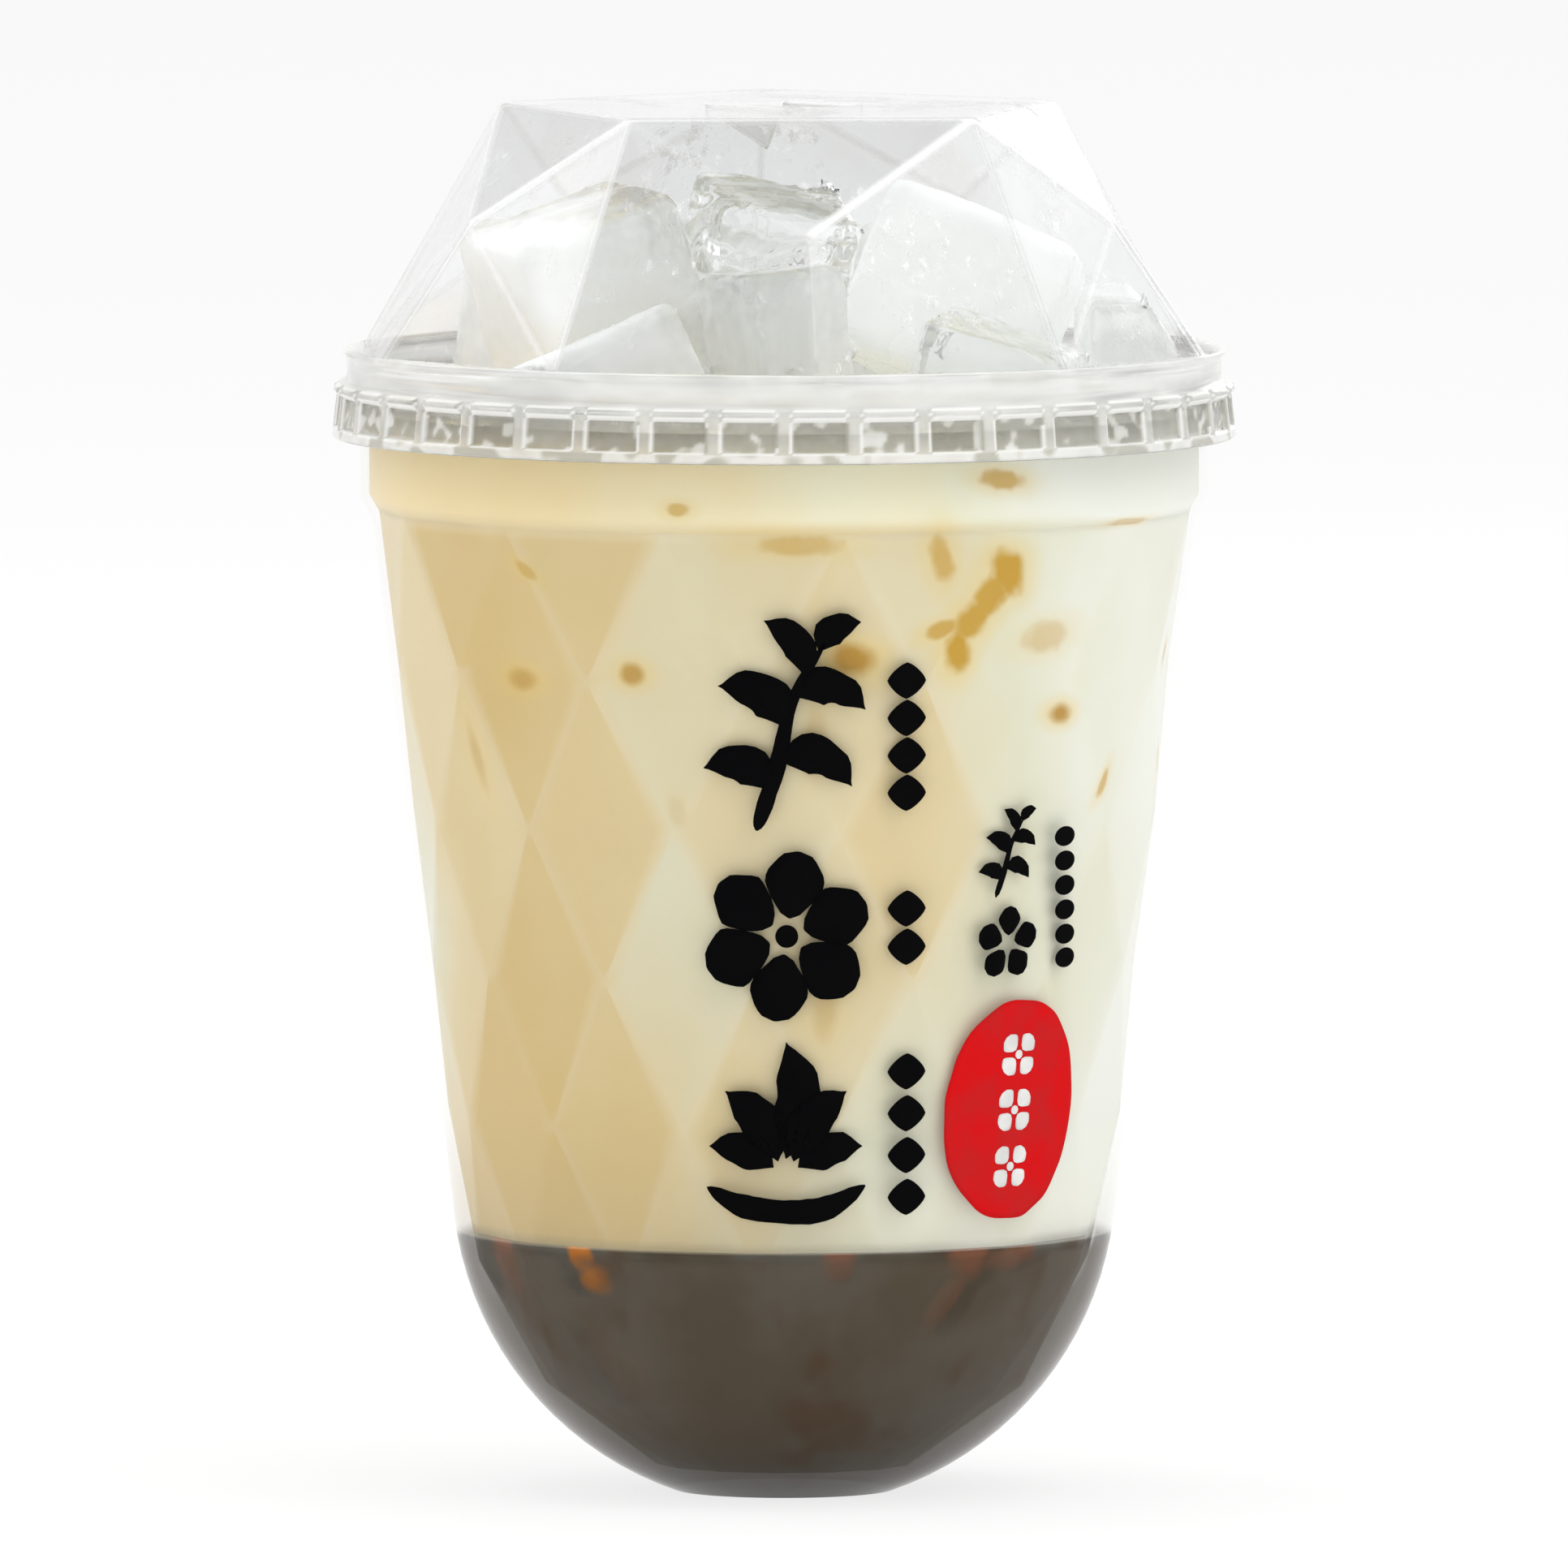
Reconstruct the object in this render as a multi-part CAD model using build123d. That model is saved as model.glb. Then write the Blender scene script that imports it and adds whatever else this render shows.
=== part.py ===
# Iced brown-sugar milk tea in a clear round-bottomed cup with a faceted dome lid.
# Millimetres, +Z up. The origin is the centre of the cup's flat base; the front faces -Y.
# Azimuths are counted from the front, positive towards +X.

from build123d import *
import os
from math import atan2, cos, radians, sin, sqrt, tan

# ---- cup, outside ----
cup_height = 120.6       # base to the top of the rim
base_radius = 12.0       # flat disc the cup stands on
bowl_radius = 36.3       # ball that rounds off the bottom
wall_taper = 6.61        # degrees, how far the wall leans out
band_height = 14.6       # plain band under the rim, from the ledge to the rim's top
ledge_step = 1.4         # how far the band stands out from the wall
ledge_rise = 2.8         # height over which it does so
rim_overhang = 1.3       # the rim's bead beyond the band
rim_depth = 3.0          # height of the bead
rim_round = 1.1          # rounding of the bead's outer edges
ledge_round = 1.0        # rounding of the ledge

# ---- cup, inside: a lattice of diamond facets ----
wall_thickness = 1.3     # at the lattice nodes of the straight wall
bowl_thickness = 2.2     # at the lattice nodes of the bowl
floor_thickness = 2.9
facets_round = 14        # diamonds in one turn
facet_pitch = 16.4       # height between two rows of nodes
facet_turn = -30.3       # azimuth of a node in the second row
bowl_row_height = 11.5   # the row of nodes low in the bowl

# ---- drink ----
syrup_level = 28.6       # top of the dark brown-sugar layer
drink_below_rim = 2.1    # from the rim down to the drink's surface

# ---- lid ----
sheet = 0.6              # thickness of the formed sheet
dome_sides = 5
dome_turn = -32.0        # azimuth of a top corner
dome_height = 26.6       # from the ring's top face to the dome's top
dome_top_radius = 32.0   # corners of the top
waist_height = 14.5      # from the ring's top face to the waist corners
waist_radius = 37.2
ring_height = 4.4        # rim's top to the ring's top face
ring_beyond_rim = 0.2    # the ring's outer face beyond the rim's bead
lip_beyond_ring = 0.4    # thin lip round the ring's top
lip_depth = 0.8
flange_reach = 2.9       # seat that lies on the rim, inwards from the ring's inner face
skirt_clearance = 0.3    # between the bead and the skirt
skirt_wall = 0.85
skirt_drop = 5.2         # from the rim's top down to the skirt's edge
skirt_flare = 0.65       # how far the skirt leans out on the way down
shoulder_rise = 0.9      # rounded shoulder above the rim's top
panels_round = 40
panel_width = 6.3
panel_height = 3.6
panel_depth = 0.5
panel_above_edge = 1.1   # from the skirt's lower edge to the panel
lug_length = 6.2         # rounded lug above each panel
lug_height = 1.0
lug_depth = 0.45
slit_reach = 8.6         # half the length of each cut of the straw cross
slit_gap = 0.3
flap_root = 0.35         # how far each flap runs into the sheet round it
flap_bends = {-45: 50.0, 45: 7.0, 135: -5.0, 225: 4.0}   # azimuth of a flap, degrees bent down

# ---- ice ----
ice_edge = 22.0          # edge of an ordinary cube
ice_round = 0.11         # rounding of a cube's edges, as a share of its smallest side
ice_to_lid = 0.5         # clearance to the inside of lid and cup
# name, centre (x, y, height above the drink), sides (x, y, z) and tilt about x, y, z in degrees;
# centres and sides in cube edges, so the heap keeps together when the cubes change size
ice_heap = [
    ("left", (-0.95, -0.29, 0.49), (0.95, 0.86, 1.08), (4, -5, 14)),
    ("right", (0.87, -0.16, 0.53), (1.04, 0.90, 0.92), (-5, 14, -7)),
    ("middle", (-0.12, 0.58, 0.53), (0.80, 0.78, 1.06), (6, 5, 24)),
    ("small", (-0.03, -0.83, 0.35), (0.60, 0.58, 0.82), (-8, 7, 20)),
    ("slab", (-0.88, -1.33, 0.04), (1.02, 0.60, 0.84), (-4, -14, 14)),
    ("grey", (1.00, -1.08, 0.06), (0.80, 0.68, 0.82), (8, 6, -18)),
    ("far_right", (1.73, 0.20, 0.16), (0.50, 0.84, 0.84), (5, 6, 6)),
    ("far_left", (-1.18, 0.72, 0.42), (0.76, 0.80, 0.96), (-4, 7, -16)),
    ("back_right", (0.85, 0.97, 0.38), (0.88, 0.84, 0.92), (7, -6, 12)),
    ("back", (-0.18, 1.55, 0.24), (0.86, 0.62, 0.84), (-6, 5, -6)),
    ("front", (0.16, -1.66, -0.12), (0.78, 0.44, 0.76), (-7, -5, 4)),
]

# ---- worked out from the sizes above ----
lean = tan(radians(wall_taper))
bowl_centre = sqrt(bowl_radius ** 2 - base_radius ** 2)
wall_start = bowl_centre - bowl_radius * sin(radians(wall_taper))
wall_start_radius = bowl_radius * cos(radians(wall_taper))
ledge_level = cup_height - band_height


def wall_radius(height):
    return wall_start_radius + (height - wall_start) * lean


band_radius = wall_radius(ledge_level) + ledge_step
band_inside = band_radius - wall_thickness
rim_radius = band_radius + rim_overhang
drink_level = cup_height - drink_below_rim
ring_top = cup_height + ring_height
ring_radius = rim_radius + ring_beyond_rim
lip_radius = ring_radius + lip_beyond_ring
skirt_inside = rim_radius + skirt_clearance


def at(azimuth, radius, height):
    turn = radians(azimuth)
    return (radius * sin(turn), -radius * cos(turn), height)


def polyhedron(faces):
    shell = Shell([Face(Wire.make_polygon(face, close=True)) for face in faces])
    solid = Solid(shell)
    return solid if solid.volume > 0 else Solid(shell.wrapped.Reversed())


def revolved(points):
    # a solid of revolution about Z from (radius, height) points
    return revolve(Face(Wire.make_polygon([(r, 0, z) for r, z in points], close=True)), Axis.Z)


def disc(radius, low, high):
    return Pos(0, 0, (low + high) / 2) * Cylinder(radius, high - low)


# ---- cup ----
def lattice_rows():
    # (height, radius) of each row of nodes from the ledge down to the floor
    rows = []
    height = ledge_level + ledge_rise / 2
    while height > wall_start + facet_pitch / 2:
        rows.append((height, wall_radius(height) - wall_thickness))
        height -= facet_pitch
    inner_ball = bowl_radius - bowl_thickness
    bowl_heights = [min(height, wall_start), bowl_row_height, floor_thickness]
    for level in bowl_heights:
        rows.append((level, sqrt(inner_ball ** 2 - (bowl_centre - level) ** 2)))
    return rows


def facet_core():
    # the faceted space inside the straight wall and the bowl
    pitch = 360 / facets_round
    rings = []
    for row, (height, radius) in enumerate(lattice_rows()):
        turn = facet_turn + (row + 1) % 2 * pitch / 2
        rings.append([at(turn + pitch * i, radius, height) for i in range(facets_round)])
    faces = [rings[0], rings[-1]]
    for row in range(len(rings) - 1):
        upper, lower = rings[row], rings[row + 1]
        # each node sits over the gap between two nodes of the next row
        step = 1 if row % 2 == 0 else 0
        for i in range(facets_round):
            here, after = i, (i + 1) % facets_round
            low = (i + step) % facets_round
            low_before = (low - 1) % facets_round
            faces.append([upper[here], upper[after], lower[low]])
            faces.append([upper[here], lower[low_before], lower[low]])
    return polyhedron(faces)


def cup_space(top):
    # everything inside the cup up to a level
    facet_top, facet_top_radius = lattice_rows()[0]
    ledge_top = ledge_level + ledge_rise
    band = revolved([
        (0, facet_top),
        (facet_top_radius, facet_top),
        (band_inside, ledge_top),
        (band_inside, top),
        (0, top),
    ])
    return facet_core() + band


def cup_outside():
    with BuildPart() as outside:
        with BuildSketch(Plane.XZ):
            with BuildLine():
                Line((0, 0), (base_radius, 0))
                ThreePointArc(
                    (base_radius, 0),
                    ball_point((atan2(base_radius, bowl_centre) + radians(90 - wall_taper)) / 2),
                    (wall_start_radius, wall_start),
                )
                Polyline(
                    (wall_start_radius, wall_start),
                    (wall_radius(ledge_level), ledge_level),
                    (band_radius, ledge_level + ledge_rise),
                    (band_radius, cup_height - rim_depth),
                    (rim_radius, cup_height - rim_depth),
                    (rim_radius, cup_height),
                    (0, cup_height),
                    (0, 0),
                )
            make_face()
            bead = vertices().filter_by(lambda v: v.X > band_radius + rim_overhang / 2)
            fillet(bead, rim_round)
            ledge_top = ledge_level + ledge_rise
            ledge = vertices().filter_by(lambda v: ledge_level - 0.1 < v.Y < ledge_top + 0.1)
            fillet(ledge, ledge_round)
        revolve(axis=Axis.Z)
    return outside.part


def ball_point(angle):
    # a point of the outer ball, by its angle from straight down
    return (bowl_radius * sin(angle), bowl_centre - bowl_radius * cos(angle))


def make_cup():
    return cup_outside() - cup_space(cup_height + 1)


# ---- lid ----
def dome(inset):
    # the faceted dome, inset all round; it stands on the ring's top plate
    # shrinking towards a point below the middle of the ring keeps the sheet's thickness even
    centre = ring_top - waist_height
    keep = 1 - inset / waist_radius
    pitch = 360 / dome_sides
    base_level = ring_top - sheet

    def corner(azimuth, radius, rise):
        return at(azimuth, radius * keep, centre + (ring_top + rise - centre) * keep)

    top = [corner(dome_turn + pitch * i, dome_top_radius, dome_height) for i in range(dome_sides)]
    waist = [corner(dome_turn + pitch * (i + 0.5), waist_radius, waist_height) for i in range(dome_sides)]
    foot = [at(dome_turn + pitch * i / 2, ring_radius - inset, base_level) for i in range(2 * dome_sides)]
    faces = [top, foot]
    for i in range(dome_sides):
        after = (i + 1) % dome_sides
        under, beside, under_after = foot[2 * i], foot[2 * i + 1], foot[2 * after]
        faces += [
            [top[i], top[after], waist[i]],
            [top[i], waist[i], under],
            [top[after], under_after, waist[i]],
            [waist[i], beside, under],
            [waist[i], under_after, beside],
        ]
    return polyhedron(faces)


def lid_ring():
    skirt_top = cup_height + shoulder_rise
    skirt_edge = cup_height - skirt_drop
    skirt_outside = skirt_inside + skirt_wall
    ring_inside = ring_radius - sheet
    flange_inside = ring_inside - flange_reach
    return revolved([
        (flange_inside, cup_height),
        (skirt_inside, cup_height),
        (skirt_inside + skirt_flare, skirt_edge),
        (skirt_outside + skirt_flare, skirt_edge),
        (skirt_outside, skirt_top - sheet / 2),
        (ring_radius, skirt_top),
        (ring_radius, ring_top - lip_depth),
        (lip_radius, ring_top - lip_depth / 2),
        (lip_radius, ring_top),
        (ring_inside, ring_top),
        (ring_inside, cup_height + sheet),
        (flange_inside, cup_height + sheet),
    ])


def round_the_skirt(shape, height, depth):
    # copies of a shape drawn in X (along the rim) and Y (up), laid on the skirt's outer face
    drop = cup_height - height
    radius = skirt_inside + skirt_wall + skirt_flare * drop / skirt_drop
    face_tilt = atan2(skirt_flare, skirt_drop)
    copies = []
    for i in range(panels_round):
        azimuth = 360 / panels_round * (i + 0.5)
        place = Plane(
            origin=at(azimuth, radius - depth, height),
            x_dir=(cos(radians(azimuth)), sin(radians(azimuth)), 0),
            z_dir=at(azimuth, cos(face_tilt), sin(face_tilt)),
        )
        copies.append(place * shape)
    return copies


def straw_flaps():
    # four pointed flaps of the cross-cut straw hole, each bent about its own root
    root = slit_reach * sqrt(2) - 2 * slit_gap
    reach = slit_reach / sqrt(2) - slit_gap
    outline = [(-root / 2, -flap_root), (root / 2, -flap_root), (root / 2, 0), (0, reach), (-root / 2, 0)]
    flat = extrude(make_face(Polyline(*outline, close=True)), sheet / 2, both=True)
    level = ring_top + dome_height - sheet / 2
    flaps = []
    for azimuth, bend in flap_bends.items():
        hinge = Pos(*at(azimuth, slit_reach / sqrt(2), level)) * Rot(0, 0, azimuth)
        flaps.append(hinge * Rot(-bend, 0, 0) * flat)
    return flaps


def make_lid():
    level = ring_top + dome_height
    hole_side = slit_reach * sqrt(2)
    plate = disc(lip_radius, ring_top - sheet, ring_top)
    straw_hole = Pos(0, 0, level) * Rot(0, 0, 45) * Box(hole_side, hole_side, 4 * sheet)
    lid = plate + dome(0) - dome(sheet) - straw_hole
    lid = lid + lid_ring()
    for flap in straw_flaps():
        lid = lid + flap
    panel = extrude(Rectangle(panel_width, panel_height), 2 * panel_depth)
    panel_middle = cup_height - skirt_drop + panel_above_edge + panel_height / 2
    lid = lid - round_the_skirt(panel, panel_middle, panel_depth)
    lug = extrude(SlotOverall(lug_length, lug_height), lug_depth + sheet / 2)
    lid = lid + round_the_skirt(lug, cup_height + shoulder_rise / 2 - lug_height / 2, sheet / 2)
    return lid


# ---- ice ----
def ice_room():
    # the space that ice can take: inside the dome, the lid's seat and the cup, clear of them
    seat_room = ring_radius - sheet - flange_reach - ice_to_lid
    band_room = band_inside - ice_to_lid
    ledge_top = ledge_level + ledge_rise
    low_height, low_radius = lattice_rows()[1]
    wall_room = low_radius * cos(radians(180 / facets_round)) - ice_to_lid
    room = dome(sheet + ice_to_lid)
    room += disc(seat_room, cup_height - ice_to_lid, ring_top)
    room += disc(band_room, ledge_top, cup_height - ice_to_lid)
    room += disc(wall_room, low_height, ledge_top)
    return room


def make_ice(centre, sides, tilt):
    size = [ice_edge * side for side in sides]
    cube = Box(*size)
    cube = fillet(cube.edges(), ice_round * min(size))
    x, y, rise = (ice_edge * part for part in centre)
    return Pos(x, y, drink_level + rise) * Rot(*tilt) * cube


# ---- build ----
def build():
    room = ice_room()
    parts = {"cup": make_cup(), "lid": make_lid()}
    ice = {}
    for name, centre, sides, tilt in ice_heap:
        ice[f"ice_{name}"] = make_ice(centre, sides, tilt) & room
    syrup = cup_space(cup_height) & disc(rim_radius, 0, syrup_level)
    milk = cup_space(cup_height) & disc(rim_radius, syrup_level, drink_level)
    for cube in ice.values():
        milk = milk - cube
    parts["brown_sugar"] = syrup
    parts["milk_tea"] = milk
    parts.update(ice)
    return parts


os.makedirs("parts", exist_ok=True)
for name, shape in build().items():
    export_step(shape, f"parts/{name}.step")
    print(f"{name}: {shape.volume / 1000:.2f} ml")
print(f"rim radius {rim_radius:.2f}, skirt radius {skirt_inside + skirt_wall + skirt_flare:.2f}, "
      f"height {ring_top + dome_height:.1f}")
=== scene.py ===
# Iced brown-sugar milk tea in a clear cup with a faceted dome lid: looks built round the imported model.
from contextlib import contextmanager
from math import asin, atan2, cos, degrees, pi, radians, sin, sqrt, tan

import bmesh
import bpy
from mathutils import Euler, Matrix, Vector, noise


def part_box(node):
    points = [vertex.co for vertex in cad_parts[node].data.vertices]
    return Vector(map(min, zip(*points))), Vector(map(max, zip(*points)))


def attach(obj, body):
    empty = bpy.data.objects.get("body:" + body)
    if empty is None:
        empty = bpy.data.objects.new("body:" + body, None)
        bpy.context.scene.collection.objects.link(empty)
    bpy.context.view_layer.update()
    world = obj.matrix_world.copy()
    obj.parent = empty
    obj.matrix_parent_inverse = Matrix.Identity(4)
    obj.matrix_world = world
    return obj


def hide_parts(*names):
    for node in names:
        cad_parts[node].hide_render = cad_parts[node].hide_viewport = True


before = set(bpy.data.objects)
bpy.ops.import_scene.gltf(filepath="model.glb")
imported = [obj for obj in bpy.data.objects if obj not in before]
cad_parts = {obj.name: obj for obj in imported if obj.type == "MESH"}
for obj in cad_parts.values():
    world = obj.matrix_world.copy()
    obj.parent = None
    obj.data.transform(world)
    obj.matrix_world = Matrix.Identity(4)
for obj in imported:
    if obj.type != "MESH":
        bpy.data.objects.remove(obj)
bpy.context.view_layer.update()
scene = bpy.context.scene
mm = 0.001

# small tools

def at(azimuth, radius, height):
    # azimuth in degrees from the front (-Y) towards +X; radius and height in mm
    turn = radians(azimuth)
    return Vector((radius * sin(turn), -radius * cos(turn), height))


def newPiece(name, points, faces, smooth=True):
    mesh = bpy.data.meshes.new(name)
    mesh.from_pydata([Vector(p) * mm for p in points], [], faces)
    mesh.validate()
    piece = bpy.data.objects.new(name, mesh)
    scene.collection.objects.link(piece)
    if smooth:
        mesh.shade_smooth()
    return piece


@contextmanager
def reshaped(piece):
    # the piece's mesh opened for changes, then put back
    form = bmesh.new()
    form.from_mesh(piece.data)
    yield form
    form.to_mesh(piece.data)
    form.free()


def weld(piece, distance=0.002):
    # merges points that fall together and turns every face outwards
    with reshaped(piece) as form:
        bmesh.ops.remove_doubles(form, verts=form.verts, dist=distance * mm)
        bmesh.ops.dissolve_degenerate(form, edges=form.edges, dist=distance * mm / 4)
        bmesh.ops.recalc_face_normals(form, faces=form.faces)
    piece.data.shade_smooth()


def store(piece, name, values, domain="POINT"):
    # numbers kept on the mesh, for its material to read
    piece.data.attributes.new(name, "FLOAT", domain).data.foreach_set("value", values)


def applied(piece):
    # the piece with its modifiers made real
    bpy.context.view_layer.update()
    seen = piece.evaluated_get(bpy.context.evaluated_depsgraph_get())
    mesh = bpy.data.meshes.new_from_object(seen)
    piece.modifiers.clear()
    piece.data = mesh
    piece.data.name = piece.name
    return piece


def finished(piece, material, slot, *nodes):
    piece.data.materials.clear()
    piece.data.materials.append(material)
    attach(piece, "root")
    if nodes:
        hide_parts(*nodes)
    return piece


def softNoise(point, scale, offset=0.0):
    # smooth noise from -1 to 1; scale is its grain in mm
    return noise.noise(Vector(point) / scale + Vector((offset, offset * 0.7, -offset)))


def fromAxis(point):
    # the level direction from the cup's axis to a point
    return Vector((point.x, point.y, 0)).normalized()


class Value:
    # a number or colour on its way through a material's nodes
    def __init__(self, tree, socket):
        self.tree, self.socket = tree, socket

    def use(self, operation, *others):
        return maths(self.tree, operation, self, *others)

    def __add__(self, other):
        return self.use("ADD", other)

    def __mul__(self, other):
        return self.use("MULTIPLY", other)

    def __sub__(self, other):
        return self.use("SUBTRACT", other)

    def __rsub__(self, other):
        return maths(self.tree, "SUBTRACT", other, self)

    __radd__ = __add__
    __rmul__ = __mul__


def maths(tree, operation, *values):
    node = tree.nodes.new("ShaderNodeMath")
    node.operation = operation
    for slot, value in zip(node.inputs, values):
        connect(tree, value, slot)
    return Value(tree, node.outputs[0])


def connect(tree, value, slot):
    if isinstance(value, Value):
        tree.links.new(value.socket, slot)
    elif isinstance(value, (tuple, list)) and len(value) == 3 and slot.type == "RGBA":
        slot.default_value = (*value, 1)
    else:
        slot.default_value = value


class Finish:
    # a material and the nodes it is made of
    def __init__(self, name, world=None):
        self.owner = world or bpy.data.materials.new(name)
        self.owner.use_nodes = True
        self.tree = self.owner.node_tree
        self.tree.nodes.clear()

    def add(self, kind, settings=None, sockets=None, out=0):
        # any node: its type, its settings (a ramp's stops among them), then its sockets
        node = self.tree.nodes.new("ShaderNode" + kind)
        for name, value in (settings or {}).items():
            if name != "stops":
                setattr(node, name, value)
                continue
            marks = node.color_ramp.elements
            while len(marks) < len(value):
                marks.new(0.5)
            for mark, (place, colour) in zip(marks, value):
                mark.position, mark.color = place, (*colour, 1)
        for name, value in (sockets or {}).items():
            connect(self.tree, value, node.inputs[name])
        return Value(self.tree, node.outputs[out]) if len(node.outputs) else None

    def place(self):
        # the point on the piece, in mm
        spot = self.add("TexCoord", out="Object")
        return self.add("VectorMath", {"operation": "SCALE"}, {"Vector": spot, "Scale": 1000})

    def parts(self, vector):
        return [self.add("SeparateXYZ", None, {0: vector}, out=axis) for axis in "XYZ"]

    def grain(self, vector, scale, detail=2.0, rough=0.5, stretch=None):
        if stretch:
            vector = self.add("VectorMath", {"operation": "MULTIPLY"}, {0: vector, 1: stretch})
        return self.add("TexNoise", None, {"Vector": vector, "Scale": 1 / scale, "Detail": detail, "Roughness": rough})

    def ease(self, value, low, high, start=0.0, end=1.0):
        # smooth step from start to end as the value goes from low to high
        return self.add("MapRange", {"interpolation_type": "SMOOTHSTEP"},
                        {"Value": value, "From Min": low, "From Max": high, "To Min": start, "To Max": end})

    def blend(self, mask, first, second):
        return self.add("Mix", {"data_type": "RGBA"}, {0: mask, 6: first, 7: second}, out=2)

    def ramp(self, value, stops):
        # a colour ramp from (place, colour) stops
        return self.add("ValToRGB", {"stops": stops}, {"Fac": value}, out="Color")

    def stored(self, name):
        return self.add("Attribute", {"attribute_name": name}, out="Fac")

    def bump(self, height, strength, distance):
        return self.add("Bump", None, {"Height": height, "Strength": strength, "Distance": distance * mm})

    def plastic(self, **sockets):
        return self.add("BsdfPrincipled", None, {name.replace("_", " "): value for name, value in sockets.items()})

    def done(self, surface):
        kind = "OutputWorld" if isinstance(self.owner, bpy.types.World) else "OutputMaterial"
        self.add(kind, None, {"Surface": surface})
        return self.owner


# camera, light and floor
viewing = {
    "distance": 5.0,  # m
    "elevation": 4.2,  # degrees above the horizon
    "frameWidth": 171.3,  # mm across the picture at the cup's axis
    "aimHeight": 77.3,  # mm
}
camera = bpy.data.objects.new("camera", bpy.data.cameras.new("camera"))
scene.collection.objects.link(camera)
rise = radians(viewing["elevation"])
aim = Vector((0, 0, viewing["aimHeight"] * mm))
camera.location = aim + viewing["distance"] * Vector((0, -cos(rise), sin(rise)))
camera.rotation_euler = (aim - camera.location).to_track_quat("-Z", "Y").to_euler()
camera.data.sensor_width = 36
camera.data.lens = 36 * viewing["distance"] / (viewing["frameWidth"] * mm)
camera.data.clip_end = 60
scene.camera = camera

scene.view_settings.view_transform = "Standard"
scene.cycles.transparent_max_bounces = 40
scene.cycles.max_bounces = 16
scene.cycles.transmission_bounces = 16

studio = {
    "fill": 0.70,  # even light from all round
    "band": (0.16, 0.62),  # sines of the heights between which gloss sees a darker band
    "bandLevel": 0.46,
    "roof": 0.40,  # what gloss sees straight overhead
    "through": 0.66,  # how much of that contrast is seen through ice
    "throughLevel": 1.34,
    # soft boxes: azimuth, height angle, distance in m, side in m, brightness
    "boxes": {
        "rightBox": (50, 48, 1.6, 1.15, 1.37),
        "leftBox": (-118, 30, 1.6, 1.0, 1.37),
        "sideBox": (131, 23, 1.6, 0.65, 1.0),
        "farBox": (-152, 22, 1.6, 0.55, 0.32),
        "backBox": (163, 12, 1.6, 0.40, 2.0),
        "topBox": (0, 89, 2.2, 1.6, 2.7),  # lights the ice; gloss doesn't see it
    },
}
world = bpy.data.worlds.new("studio")
scene.world = world
room = Finish("studio", world)
heading = room.add("TexCoord", out="Generated")
upward = room.parts(heading)[2]
low, high = studio["band"]
seen = room.blend(room.ease(upward, low, low + 0.12), (1, 1, 1), (studio["bandLevel"],) * 3)
seen = room.blend(room.ease(upward, high, high + 0.2), seen, (studio["roof"],) * 3)
rayKinds = ("Is Camera Ray", "Is Glossy Ray", "Is Transmission Ray")
rays = {name: room.add("LightPath", out=name) for name in rayKinds}
tone = room.blend(rays["Is Glossy Ray"], (studio["fill"],) * 3, seen)
behind = room.blend(studio["through"], (studio["throughLevel"],) * 3, seen)
tone = room.blend(rays["Is Transmission Ray"], tone, behind)
tone = room.blend(rays["Is Camera Ray"], tone, (1, 1, 1))
room.done(room.add("Background", None, {"Color": tone, "Strength": 1.0}))

for name, (azimuth, height, away, side, bright) in studio["boxes"].items():
    lamp = bpy.data.lights.new(name, "AREA")
    lamp.size, lamp.energy = side, bright * pi * side ** 2
    holder = bpy.data.objects.new(name, lamp)
    level = cos(radians(height)) * away
    holder.location = at(azimuth, level, sin(radians(height)) * away + 0.1)
    holder.rotation_euler = (Vector((0, 0, 0.1)) - holder.location).to_track_quat("-Z", "Y").to_euler()
    scene.collection.objects.link(holder)
    holder.visible_glossy = name != "topBox"
    holder.visible_transmission = name != "topBox"
    holder.visible_diffuse = name not in ("sideBox", "farBox")       # these two are for the lid's gloss

floorPlan = {
    "reach": 14000.0,  # mm
    "drop": 0.05,
    "paint": 0.93,
    "glow": 0.8,  # how white the camera and gloss see it
}
reach = floorPlan["reach"]
floor = newPiece("floor", [(x * reach, y * reach, -floorPlan["drop"]) for x, y in ((-1, -1), (1, -1), (1, 1), (-1, 1))],
                 [(0, 1, 2, 3)], smooth=False)
white = Finish("floorWhite")
direct, glossy, passing = (white.add("LightPath", out=name) for name in rayKinds)
direct = direct.use("MAXIMUM", glossy).use("MAXIMUM", passing)
matt = white.add("BsdfDiffuse", None, {"Color": (floorPlan["paint"],) * 3})
glow = white.add("Emission", None, {"Color": (1, 1, 1), "Strength": 1.0})
floor.data.materials.append(white.done(white.add("MixShader", None, {0: direct * floorPlan["glow"], 1: matt, 2: glow})))
print("stage ready")

# cup
cupShape = {
    "bowlRadius": 36.3,  # ball that rounds off the bottom
    "baseRadius": 12.0,
    "taper": 6.61,  # degrees
    "wall": 1.3,
    "bowlWall": 2.2,
    "bandInside": 44.96,
}
lean = tan(radians(cupShape["taper"]))
bowlCentre = sqrt(cupShape["bowlRadius"] ** 2 - cupShape["baseRadius"] ** 2)
wallStart = bowlCentre - cupShape["bowlRadius"] * sin(radians(cupShape["taper"]))
wallStartRadius = cupShape["bowlRadius"] * cos(radians(cupShape["taper"]))


def wallRadius(height):
    return wallStartRadius + (height - wallStart) * lean


# drink
drink = {
    "level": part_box("milk_tea")[1].z / mm,
    "split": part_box("brown_sugar")[1].z / mm,  # milk above, brown sugar below
    "bottom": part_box("brown_sugar")[0].z / mm,
    "round": 14,  # diamonds in one turn
    "turn": -30.3,  # azimuth of a node in the second row
    "rows": [107.4, 91.0, 74.6, 58.2, 41.8, 25.4, 11.5],
    "intoWall": 0.7,
    "ledge": 108.8,  # where the plain band starts
    "intoBand": 0.35,
    "chordSteps": 8,
    "levelStep": 1.25,
}


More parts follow.
